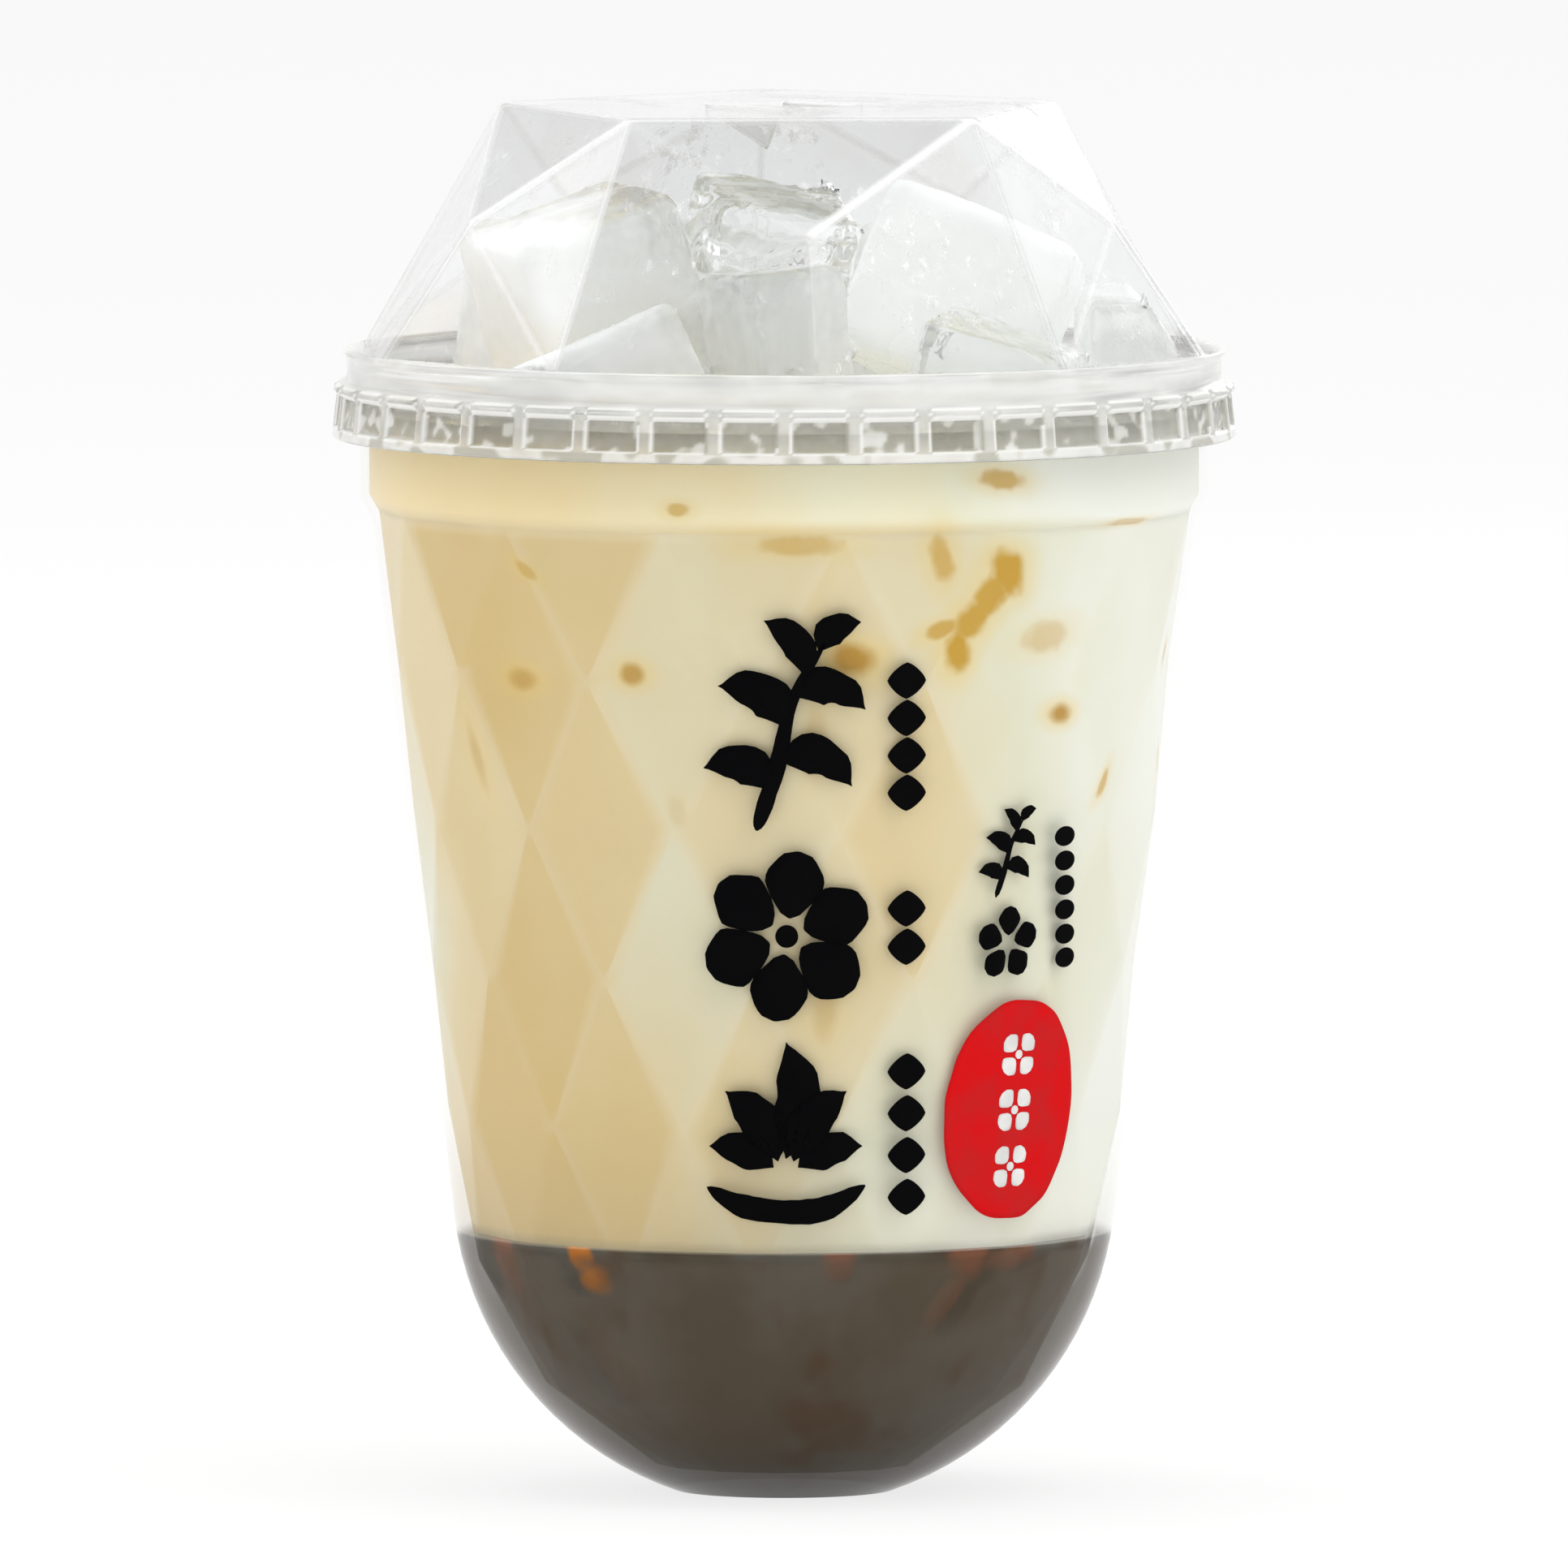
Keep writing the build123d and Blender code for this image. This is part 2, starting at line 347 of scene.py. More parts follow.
def nodeRadius(height):
    if height > wallStart:
        return wallRadius(height) - cupShape["wall"]
    inner = cupShape["bowlRadius"] - cupShape["bowlWall"]
    return sqrt(inner ** 2 - (bowlCentre - height) ** 2)


latticeRows = [(height, nodeRadius(height)) for height in drink["rows"] + [drink["bottom"]]]


def latticeLoop(level, gap):
    # points round the faceted wall at a level between two rows of nodes, and the diamond (row, azimuth) after each
    pitch = 360 / drink["round"]
    (high, wide), (low, narrow) = latticeRows[gap], latticeRows[gap + 1]
    part = (high - level) / (high - low)
    turn = drink["turn"] + (gap + 1) % 2 * pitch / 2
    corners, diamonds = [], []
    for i in range(drink["round"]):
        middle = turn + pitch * i
        for side in (-1, 1):
            corners.append(at(middle, wide, high).lerp(at(middle + side * pitch / 2, narrow, low), part))
        diamonds += [(gap + 1, middle), (gap, middle + pitch / 2)]
    loop, owners = [], []
    for i, corner in enumerate(corners):
        nextCorner = corners[(i + 1) % len(corners)]
        for k in range(drink["chordSteps"]):
            point = corner.lerp(nextCorner, k / drink["chordSteps"])
            loop.append(point + fromAxis(point) * drink["intoWall"])
            owners.append(diamonds[i])
    return loop, owners


# how tan the diamonds in front are, by row and azimuth; the others take a quiet wave
frontTones = {
    0: {-56: 1.0, -30: 0.85, -5: 0.3, 21: 0.35},
    1: {-43: 1.0, -17: 0.30, 8: 0.45, 34: 0.25},
    2: {-56: 0.55, -30: 0.75, -5: 0.45, 21: 0.80, 47: 0.30},
    3: {-69: 0.55, -43: 0.95, -17: 0.15, 8: 0.55, 34: 0.25},
    4: {-56: 1.0, -30: 0.65, -5: 0.45, 21: 0.2},
    5: {-43: 1.0, -17: 0.2, 8: 0.3},
}


def diamondTone(row, azimuth):
    azimuth = (azimuth + 180) % 360 - 180
    wave = 0.5 + 0.4 * sin(row * 2.4 + radians(azimuth) * 5.3 + 1.1)
    return frontTones.get(row, {}).get(round(azimuth), wave)


def drinkBody(name, lowest, highest, top):
    # the faceted body of one layer between two levels; top is the round loops above the lattice
    strips = []
    for gap, ((high, _), (low, _)) in enumerate(zip(latticeRows, latticeRows[1:])):
        start, end = max(low, lowest), min(high, highest)
        if end - start > 0.01:
            steps = max(2, round((end - start) / drink["levelStep"]))
            strips.append([latticeLoop(start + (end - start) * k / steps, gap) for k in range(steps + 1)])
    plain = [(-1, 0)] * len(strips[0][0][0])
    loops = [strips[0][-1][0]]
    for radius, height in top:
        loops.append([fromAxis(p) * radius + Vector((0, 0, height)) for p in loops[0]])
    strips.append([(loop, plain) for loop in loops])
    points, faces, tones = [], [], []
    columns = len(plain)
    for strip in strips:
        for row, (loop, owners) in enumerate(strip):
            points += loop
            if row == 0:
                continue
            above, under = len(points) - columns, len(points) - 2 * columns
            for column in range(columns):
                beside = (column + 1) % columns
                faces.append((under + column, under + beside, above + beside, above + column))
                tones.append(owners[column])
    bottom = min((strip[0][0] for strip in strips), key=lambda loop: loop[0].z)
    for loop in (loops[-1], bottom):
        start = len(points)
        points += loop + [sum(loop, Vector()) / columns]
        for column in range(columns):
            faces.append((start + column, start + (column + 1) % columns, start + columns))
            tones.append((-1, 0))
    piece = newPiece(name, points, faces)
    store(piece, "tone", [diamondTone(*owner) if owner[0] >= 0 else 0.5 for owner in tones], "FACE")
    weld(piece)
    softenTone(piece)
    return piece


def softenTone(piece):
    # moves the tone from faces to points, so that one diamond runs softly into the next, and marks the ridges between
    # for a painted highlight
    mesh = piece.data
    tones = [0.0] * len(mesh.polygons)
    mesh.attributes["tone"].data.foreach_get("value", tones)
    around = [[] for _ in mesh.vertices]
    for face, tone in zip(mesh.polygons, tones):
        for corner in face.vertices:
            around[corner].append(tone)
    mesh.attributes.remove(mesh.attributes["tone"])
    store(piece, "tone", [sum(near) / len(near) for near in around])
    store(piece, "ridge", [min(1.0, (max(near) - min(near)) * 9) for near in around])


ledge, band = drink["ledge"], cupShape["bandInside"] + drink["intoBand"]
milkTop = [(latticeRows[0][1] + drink["intoWall"], 107.6), (band - 0.3, ledge - 0.2), (band, ledge + 0.4)]
milkTop += [(band, ledge + 0.4 + (drink["level"] - ledge - 0.4) * k / 5) for k in range(1, 6)]
milkTop += [(band - 0.5, drink["level"] - 0.25)]
milkTop += [(band - inset, drink["level"] - 0.3) for inset in (1.5, 4, 9, 16, 26, 36)]
milk = drinkBody("milkTea", drink["split"], latticeRows[0][0], milkTop)
syrup = drinkBody("brownSugar", drink["bottom"], drink["split"], [])

milkLook = {
    # from the palest to the most tan
    "tones": [(0.0, (0.860, 0.875, 0.790)), (0.28, (0.745, 0.738, 0.560)),
              (0.60, (0.750, 0.622, 0.352)), (1.0, (0.680, 0.505, 0.212))],
    "ochre": (0.550, 0.305, 0.001),
    "amber": (0.780, 0.555, 0.110),
    "brown": (0.470, 0.245, 0.010),
    "chart": 43.0,  # mm, radius at which the wall is unrolled
    # azimuth, height, half width, half height, lean, strength
    "streaks": [
        (33.8, 102.9, 2.0, 2.4, 20, 1.0), (31.2, 100.4, 1.8, 2.8, -34, 0.95), (28.6, 97.8, 1.7, 2.8, -34, 0.95),
        (26.4, 94.6, 1.5, 2.2, -8, 1.0), (23.4, 96.9, 1.7, 0.8, 20, 0.8), (23.3, 104.6, 1.2, 2.6, 14, 0.7),
        (2.1, 106.3, 4.2, 1.1, 0, 0.5), (31.4, 113.2, 2.2, 1.0, -8, 0.75), (41.8, 95.6, 2.9, 1.5, 8, 0.42),
        (58.0, 107.6, 3.6, 0.35, 0, 0.5), (58.1, 79.0, 0.6, 1.7, -35, 0.7), (85.0, 80.1, 1.0, 1.6, 0, 0.4),
        (-39.9, 102.9, 1.4, 0.6, -35, 0.5), (-14.8, 110.2, 1.1, 0.7, 0, 0.6),
        (120.0, 98.0, 1.6, 3.2, 25, 0.8), (165.0, 94.0, 1.8, 4.0, -20, 0.7), (222.0, 99.0, 1.6, 2.6, 30, 0.75),
        (246.0, 90.0, 1.3, 2.8, -15, 0.6), (190.0, 112.0, 2.4, 0.9, 5, 0.6),
    ],
    "spots": [
        (10.2, 93.7, 2.3, 1.7, -15, 1.0), (45.8, 87.1, 1.5, 1.0, 0, 1.0), (-23.2, 92.0, 1.3, 1.1, 0, 0.8),
        (-43.3, 90.9, 1.9, 1.1, 0, 0.6), (-16.5, 77.1, 0.9, 1.6, 20, 0.15), (6.8, 55.0, 1.4, 3.0, 0, 0.3),
        (4.7, 85.0, 1.2, 3.6, 0, 0.25), (-54.5, 82.0, 1.0, 3.4, 15, 0.35), (138.0, 84.0, 1.2, 1.1, 0, 0.7),
        (196.0, 82.0, 1.4, 1.2, 0, 0.7), (85.0, 92.0, 1.4, 1.2, 10, 0.6), (-90.0, 96.0, 1.3, 1.1, 0, 0.6),
    ],
}


def wallChart(finish, radius):
    # the wall unrolled: across in mm at a given radius, and up in mm
    x, y, z = finish.parts(finish.place())
    across = x.use("ARCTAN2", 0 - y) * radius
    return finish.add("CombineXYZ", None, {"X": across, "Y": z}), z


def marks(finish, chart, wobble, radius, spots, soft):
    # one mask for a list of soft-edged spots and streaks
    mask = None
    for azimuth, height, wide, tall, tilt, strength in spots:
        azimuth = (azimuth + 180) % 360 - 180
        local = finish.add("Mapping", {"vector_type": "TEXTURE"},
                           {"Vector": chart, "Location": (radians(azimuth) * radius, height, 0),
                            "Rotation": (0, 0, radians(tilt)), "Scale": (wide, tall, 1)})
        away = finish.add("VectorMath", {"operation": "LENGTH"}, {0: local}, out="Value") + wobble
        one = finish.ease(away, 1 + soft, 1 - soft, 0, strength)
        mask = one if mask is None else mask.use("MAXIMUM", one)
    return mask


def milkMaterial():
    look = milkLook
    finish = Finish("milkTea")
    radius = look["chart"]
    chart, z = wallChart(finish, radius)
    spot = finish.place()
    x, y, _ = finish.parts(spot)
    cloud = finish.grain(spot, 24, 3)
    facet = finish.stored("tone")
    # tan on the left and low down, pale on the right
    side = finish.ease(x + (cloud - 0.5) * 20, 42, 12) * 0.53 + finish.ease(x, -2, -38, 0, 0.10)
    low = finish.ease(z, 66, 30) * finish.ease(x, 10, -18, -0.24, 0.24)
    facetShare = finish.ease(x, 40, -8, 0.16, 0.56) * finish.ease(y, 5, 35, 1, 0.55)
    drift = finish.grain(finish.place(), 11, 2, stretch=(1, 1, 0.6))
    band = finish.ease(z, 107.5, 109.5)
    amount = side + (facet - 0.5) * facetShare + (cloud - 0.5) * 0.34 + (drift - 0.5) * 0.2 + low + 0.03
    amount = amount - band * finish.ease(x, -26, 6, 0, 0.2)
    # painted sheen: paler along the left edge, below about 78 mm
    amount = amount - finish.ease(x, -33, -38) * finish.ease(z, 78, 58, 0, 0.35)
    tone = finish.ramp(amount, look["tones"])
    # painted highlight: the ridges between the diamonds are lighter
    ridge = finish.stored("ridge")
    tone = finish.blend(ridge * 0.16, tone, (0.86, 0.83, 0.70))
    # painted light: lightest in the band under the rim, to lift the shadow that the lid's skirt casts there, and a
    # little lighter upwards and low on the right
    lift = finish.ease(z, 40, 100, 0.96, 1.00) + band * finish.ease(x, 36, 10, 0.0, 0.20)
    lift = lift + finish.ease(z, 42, 30) * finish.ease(x, 0, 12, 0, 0.12)
    tone = finish.add("VectorMath", {"operation": "SCALE"}, {"Vector": tone, "Scale": lift})
    wobble = (finish.grain(spot, 3.2, 2) - 0.5) * 0.8
    ragged = wobble + (finish.grain(spot, 1.6, 2) - 0.5) * 0.35
    near = [(a, h, w * 1.9, t * 1.7, tilt, s * 0.5) for a, h, w, t, tilt, s in look["streaks"] + look["spots"]]
    for edge, spots, soft, colour in ((wobble * 0.5, near, 0.62, "amber"), (ragged, look["streaks"], 0.40, "ochre"),
                                      (wobble, look["spots"], 0.55, "brown")):
        tone = finish.blend(marks(finish, chart, edge, radius, spots, soft), tone, look[colour])
    return finish.done(finish.plastic(Base_Color=tone, Roughness=0.4, IOR=1.35, Specular_IOR_Level=0.1, Coat_Weight=0.3,
                                      Coat_Roughness=0.3, Sheen_Weight=0.3, Sheen_Roughness=0.5))


syrupLook = {
    "dark": (0.090, 0.072, 0.046),
    "blue": (0.160, 0.158, 0.135),
    "brown": (0.110, 0.058, 0.022),
    "olive": (0.075, 0.062, 0.020),
    "orange": (0.850, 0.270, 0.020),
    "rust": (0.340, 0.120, 0.060),
    "chart": 34.0,
    "bright": [(-41.8, 28.4, 1.7, 3.0, 15, 1.0), (-38.7, 25.0, 2.3, 1.6, 0, 1.0)],
    "dull": [
        (-66.5, 26.0, 3.4, 3.8, 15, 1.0), (10.3, 27.6, 1.7, 2.4, -8, 0.8), (36.9, 27.8, 2.3, 2.8, 5, 0.95),
        (47.0, 27.2, 4.2, 1.2, 5, 0.75), (33.5, 22.8, 1.6, 3.4, -30, 0.75), (-40.0, 15.5, 3.4, 5.0, 50, 0.35),
        (110.0, 25.5, 1.6, 3.6, 15, 0.8), (160.0, 26.0, 2.0, 3.0, -20, 0.8), (205.0, 25.5, 1.4, 3.2, 10, 0.8),
        (245.0, 26.5, 2.4, 2.0, 0, 0.7),
    ],
}


def syrupMaterial():
    look = syrupLook
    finish = Finish("brownSugar")
    radius = look["chart"]
    chart, z = wallChart(finish, radius)
    cloud = finish.grain(finish.place(), 16, 3)
    patch = finish.grain(finish.place(), 9, 2, stretch=(1, 1, 0.7))
    facet = finish.stored("tone")
    tone = finish.blend(finish.ease(cloud, 0.42, 0.62), look["dark"], look["blue"])
    tone = finish.blend(finish.ease(patch, 0.5, 0.68, 0, 0.8), tone, look["brown"])
    tone = finish.blend(finish.ease(z, 12, 3, 0, 0.7), tone, look["olive"])
    tone = finish.blend(finish.ease(facet, 0.4, 1, 0, 0.25), tone, look["blue"])
    wobble = (finish.grain(finish.place(), 3, 2) - 0.5) * 0.9
    tone = finish.blend(marks(finish, chart, wobble, radius, look["dull"], 0.45), tone, look["rust"])
    tone = finish.blend(marks(finish, chart, wobble, radius, look["bright"], 0.35), tone, look["orange"])
    return finish.done(finish.plastic(Base_Color=tone, Roughness=0.3, IOR=1.4, Specular_IOR_Level=0.3))


finished(milk, milkMaterial(), "milk_tea", "milk_tea")
finished(syrup, syrupMaterial(), "brown_sugar", "brown_sugar")
print("drink ready")


cupLook = {
    "milkHaze": (0.74, 0.64, 0.42),
    "paleHaze": (0.86, 0.85, 0.75),
    "syrupHaze": (0.106, 0.082, 0.056),
    "coolHaze": (0.115, 0.096, 0.072),
    "warmHaze": (0.094, 0.056, 0.030),
    "milkAlpha": 0.045,
    "syrupAlpha": 0.74,
    "window": 0.36,  # how much clearer the wall is over a streak of syrup
}


def cupMaterial():
    look = cupLook
    finish = Finish("cupPlastic")
    x, y, z = finish.parts(finish.place())
    below = finish.ease(z, drink["split"] + 0.1, drink["split"] - 0.1)
    spot = finish.place()
    dark = finish.blend(finish.ease(finish.grain(spot, 17, 2), 0.44, 0.62), look["syrupHaze"], look["coolHaze"])
    warm = finish.ease(finish.grain(spot, 9, 2, stretch=(1, 1, 0.7)), 0.52, 0.68, 0, 0.8)
    dark = finish.blend(warm, dark, look["warmHaze"])
    haze = finish.blend(below, finish.blend(finish.ease(x, -8, 18), look["milkHaze"], look["paleHaze"]), dark)
    filled = finish.ease(z, drink["split"], drink["split"] - 1.6)
    deeper = finish.ease(z, 9, 1, 0, 0.06)
    chart, _ = wallChart(finish, syrupLook["chart"])
    wobble = (finish.grain(spot, 3, 2) - 0.5) * 0.9
    window = marks(finish, chart, wobble, syrupLook["chart"], syrupLook["bright"] + syrupLook["dull"], 0.5)
    # more milky haze on the wall just above the brown sugar: partly haze, partly a painted sheen that keeps the cup's
    # edges pale there
    milky = finish.ease(z, drink["split"] + 16, drink["split"] + 1, 0, 0.20) * (1 - filled)
    alpha = look["syrupAlpha"] - look["milkAlpha"] - window * look["window"]
    alpha = look["milkAlpha"] + milky + filled * alpha + deeper
    return finish.done(finish.plastic(Base_Color=haze, Alpha=alpha, Roughness=0.12, IOR=1.5, Specular_IOR_Level=0.08))


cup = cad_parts["cup"]
cup.data.materials.clear()
cup.data.materials.append(cupMaterial())
print("cup ready")

# lid
lidShape = {
    "sheet": 0.5,
    "sides": 5,
    "turn": -32.0,
    "ringTop": 125.0,
    "domeHeight": 26.6,
    "topRadius": 32.0,
    "waistHeight": 14.5,
    "waistRadius": 37.2,
    "ringRadius": 47.76,
    "steps": 34,  # divisions of every facet's side
    "crinkle": 0.10,  # mm
    "sparkle": 0.16,
    "slit": 8.6,
    "slitGap": 0.15,
    "flaps": {315: 50.0, 45: 7.0, 135: -4.0, 225: 4.0},  # azimuth of a flap, degrees bent down
    "holeRows": 14,
    "flapRows": 9,
}


# how bright the painted highlight along the fold between two corners is; the rest are quiet
foldHighlight = {
    ("top0", "waist0"): 0.12, ("top1", "waist0"): 1.0, ("top0", "waist4"): 0.85, ("top0", "foot0"): 0.6,
    ("top1", "foot2"): 0.4, ("top1", "waist1"): 0.8, ("waist0", "foot0"): 0.08, ("waist0", "foot2"): 0.08,
    ("waist0", "foot1"): 0.08, ("top0", "top1"): 0.6, ("top4", "top0"): 0.6,
}


def domeCorners():
    shape = lidShape
    pitch = 360 / shape["sides"]
    turn, base = shape["turn"], shape["ringTop"]
    corners = {}
    for i in range(shape["sides"]):
        corners[f"top{i}"] = at(turn + pitch * i, shape["topRadius"], base + shape["domeHeight"])
        corners[f"waist{i}"] = at(turn + pitch * (i + 0.5), shape["waistRadius"], base + shape["waistHeight"])
    for i in range(2 * shape["sides"]):
        corners[f"foot{i}"] = at(turn + pitch * i / 2, shape["ringRadius"] - 0.1, base - 0.5)
    return corners


def domeFacets():
    # the corners of every facet, by name
    sides = lidShape["sides"]
    for i in range(sides):
        top, after, waist = f"top{i}", f"top{(i + 1) % sides}", f"waist{i}"
        under, beside, underAfter = f"foot{2 * i}", f"foot{2 * i + 1}", f"foot{2 * ((i + 1) % sides)}"
        yield from ((top, after, waist), (top, waist, under), (after, underAfter, waist))
        yield from ((waist, beside, under), (waist, underAfter, beside))


def outward(a, b, c):
    normal = (b - a).cross(c - a).normalized()
    return -normal if normal.dot((a + b + c) / 3 - Vector((0, 0, lidShape["ringTop"]))) < 0 else normal


def buildDome():
    shape = lidShape
    steps = shape["steps"]
    topLevel = shape["ringTop"] + shape["domeHeight"]
    places = domeCorners()
    top = [places[f"top{i}"] for i in range(shape["sides"])]
    points, faces, creased, foldHighlights = [], [], [], []

    def facet(names):
        # a three-cornered facet as a fine grid, a little crinkled away from its edges
        a, b, c = (places[name] for name in names)
        sides = ((names[0], names[2]), (names[0], names[1]), (names[1], names[2]))
        light = [foldHighlight.get(pair, foldHighlight.get(pair[::-1], 0.3)) for pair in sides]
        start = len(points)
        normal = outward(a, b, c)
        for i in range(steps + 1):
            for j in range(steps + 1 - i):
                u, v = i / steps, j / steps
                point = a * (1 - u - v) + b * u + c * v
                edge = min(u, v, 1 - u - v)
                inside = min(1, edge * 9)
                wave = softNoise(point, 11, 3) + 0.5 * softNoise(point, 5, 8)
                sparkle = max(0, softNoise(point, 14, 21)) * softNoise(point, 2.2, 5)
                points.append(point + normal * (inside * (shape["crinkle"] * wave + shape["sparkle"] * sparkle)))
                creased.append(1.0 if edge < 1.6 / steps else 0.0)
                # a point on a fold takes that fold's painted highlight
                gaps = (u, v, 1 - u - v)
                foldHighlights.append(max([share for share, gap in zip(light, gaps) if gap < 0.5 / steps], default=0.0))

        def index(i, j):
            return start + i * (steps + 1) - i * (i - 1) // 2 + j

        for i in range(steps):
            for j in range(steps - i):
                faces.append((index(i, j), index(i + 1, j), index(i, j + 1)))
                if j < steps - i - 1:
                    faces.append((index(i + 1, j), index(i + 1, j + 1), index(i, j + 1)))

    for names in domeFacets():
        facet(names)

    # the flat top, from its five sides in to the square of the straw cross
    outer = []
    for i in range(shape["sides"]):
        outer += [top[i].lerp(top[(i + 1) % shape["sides"]], k / steps) for k in range(steps)]
    azimuths = [degrees(atan2(p.x, -p.y)) % 360 for p in outer]
    inner = []
    corners = {}
    for quarter in range(4):
        nearest = min(range(len(outer)), key=lambda n: abs((azimuths[n] - 90 * quarter + 180) % 360 - 180))
        corners[nearest] = 90 * quarter
    for n, azimuth in enumerate(azimuths):
        azimuth = corners.get(n, azimuth)
        turn = radians(azimuth)
        inner.append(at(azimuth, shape["slit"] / (abs(sin(turn)) + abs(cos(turn))), topLevel))
    start = len(points)
    rows = shape["holeRows"]
    for row in range(rows + 1):
        for outside, within in zip(outer, inner):
            point = outside.lerp(within, row / rows)
            wave = softNoise(point, 12, 3) * 0.1 * min(1, row / 3) * min(1, (rows - row) / 3)
            points.append(point + Vector((0, 0, wave)))
            creased.append(1.0 if row <= 1 else 0.0)
            # a painted highlight along the flat top's outer edge
            foldHighlights.append(0.6 if row == 0 else 0.0)
    around = len(outer)
    for row in range(rows):
        for n in range(around):
            after = (n + 1) % around
            above, under = start + row * around, start + (row + 1) * around
            faces.append((above + n, above + after, under + after, under + n))

    # four pointed flaps, each bent about the line where it meets the flat top
    order = sorted(corners, key=lambda n: corners[n])
    for here, there in zip(order, order[1:] + order[:1]):
        line = [inner[(here + k) % around] for k in range((there - here) % around + 1)]
        middle = (corners[here] + 45) % 360
        bend = radians(shape["flaps"][middle])
        hinge = (line[-1] - line[0]).normalized()
        inward = -at(middle, 1, 0)
        tip = Vector((0, 0, topLevel)) - inward * shape["slitGap"] * 1.4
        begin = len(points)
        for row in range(shape["flapRows"] + 1):
            share = row / shape["flapRows"]
            for k, root in enumerate(line):
                trim = shape["slitGap"] * min(1, share * 4)
                along = hinge * (trim if k == 0 else -trim if k == len(line) - 1 else 0)
                point = root.lerp(tip, share) + along * (1 - share)
                depth = (point - line[0]).dot(inward)
                base = point - inward * depth
                curl = bend * min(1, depth / 0.9)
                points.append(base + inward * depth * cos(curl) - Vector((0, 0, depth * sin(curl))))
                creased.append(0.0)
                # a painted highlight along the flap's sides and tip, fainter over the rest of it
                foldHighlights.append(1.0 if k in (0, len(line) - 1) or row == shape["flapRows"] else 0.3)
        width = len(line)
        for row in range(shape["flapRows"]):
            for k in range(width - 1):
                a = begin + row * width + k
                faces.append((a, a + 1, a + 1 + width, a + width))
    dome = newPiece("lidDome", points, faces)
    store(dome, "creased", creased)
    # the painted highlights along the folds, for the lid's material
    store(dome, "fold", foldHighlights)
    weld(dome, 0.01)
    with reshaped(dome) as form:
        layer = form.verts.layers.float["creased"]
        near = [v for v in form.verts if v[layer] > 0.5]
        for _ in range(2):
            bmesh.ops.smooth_vert(form, verts=near, factor=0.5, use_axis_x=True, use_axis_y=True, use_axis_z=True)
    thick = dome.modifiers.new("sheet", "SOLIDIFY")
    thick.thickness = shape["sheet"] * mm
    thick.offset = -1
    thick.use_even_offset = False
    return applied(dome)


skirtShape = {
    "panels": 40,
    "columnsEach": 20,
    "panelWidth": 6.3,
    "panelHeight": 3.6,
    "panelDepth": 0.5,
    "panelMiddle": 118.3,
    "lugLength": 6.2,
    "lugHeight": 1.0,
    "lugDepth": 0.4,
    "lugMiddle": 120.75,
    "seat": 44.26,  # inner edge of the flange that lies on the rim
    "inside": 47.86,
    "edgeInside": 48.51,
    "edgeOutside": 49.36,
    "outside": 48.71,
    "edge": 115.4,
    "ring": 47.76,
    "lip": 48.16,
}


def ramp(value, low, high):
    share = max(0.0, min(1.0, (value - low) / (high - low)))
    return share * share * (3 - 2 * share)


def decagonRadius(azimuth):
    # the dome's foot: ten straight sides between corners on the ring
    pitch = 180 / lidShape["sides"]
    off = (azimuth - lidShape["turn"]) % pitch - pitch / 2
    return (lidShape["ringRadius"] - 0.1) * cos(radians(pitch / 2)) / cos(radians(off))


